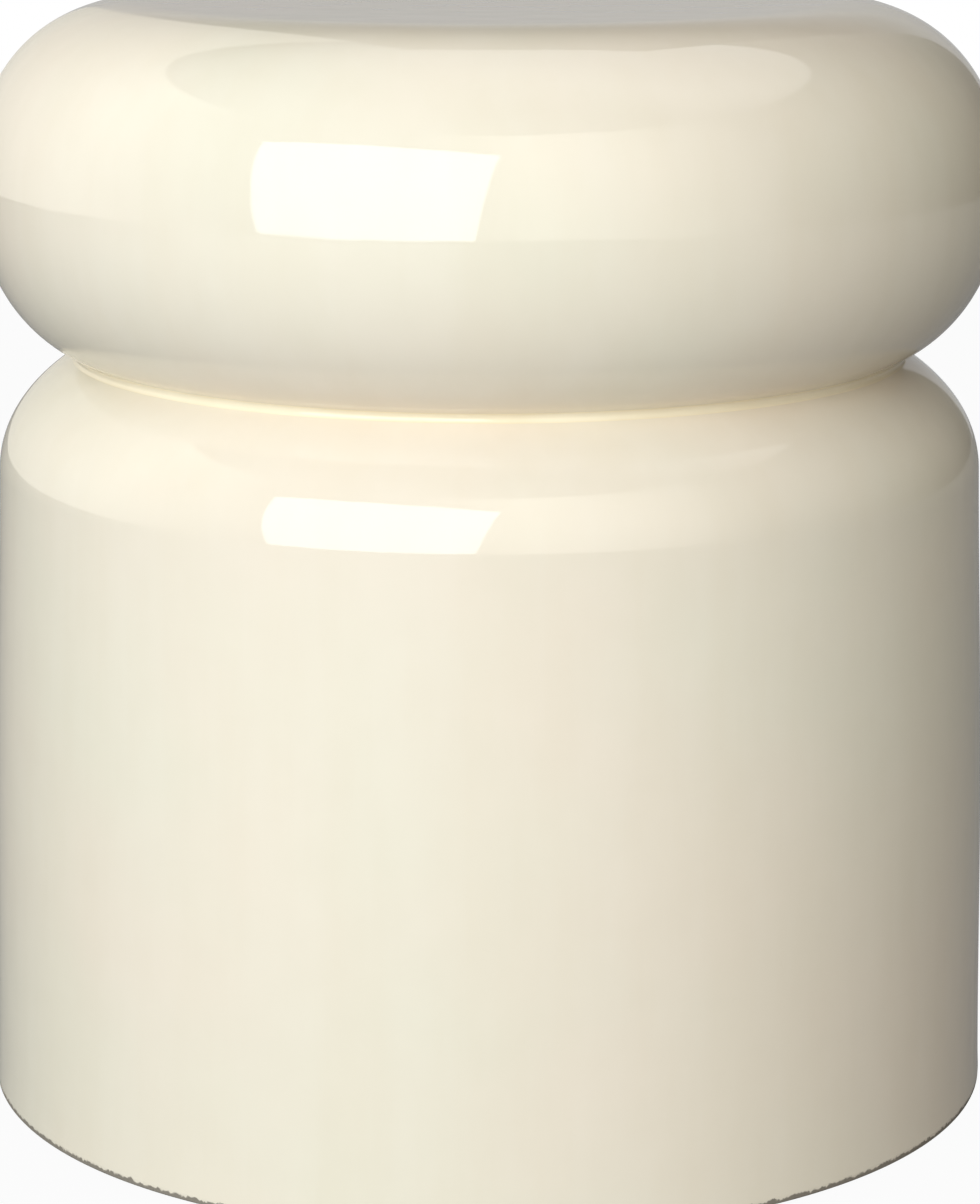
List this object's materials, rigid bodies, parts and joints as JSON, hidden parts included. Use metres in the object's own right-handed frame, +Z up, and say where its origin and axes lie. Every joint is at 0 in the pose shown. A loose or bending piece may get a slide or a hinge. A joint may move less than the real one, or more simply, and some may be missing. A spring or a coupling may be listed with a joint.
{
  "type": "ceramic garden stool",
  "caption": "Hollow glazed stoneware stool: a puffed, flat-topped round seat luted to a slightly tapered drum with a rounded shoulder, on small rubber pads.",
  "frame": {"origin": "on the floor, at the foot of the stool's own axis", "axes": "+Z up along the stool's axis; the stool is round, so +X and +Y are any two directions across it, with the picture seen from -Y"},
  "size_m": [0.4179, 0.4178, 0.45],
  "materials": {
    "cream_glaze": "glossy cream glaze over stoneware",
    "joint_slip": "fired joining slip, glazed over at the crease",
    "bare_clay": "unglazed fired stoneware, matt",
    "pad_rubber": "matt grey rubber"
  },
  "bodies": {
    "root": {"seat_shell": "cream_glaze", "drum_shell": "cream_glaze", "waist_seam": "joint_slip", "waist_coil": "bare_clay", "foot_pad_1": "pad_rubber", "foot_pad_2": "pad_rubber", "foot_pad_3": "pad_rubber", "foot_pad_4": "pad_rubber", "foot_pad_5": "pad_rubber", "foot_pad_6": "pad_rubber"}
  },
  "joints": []
}
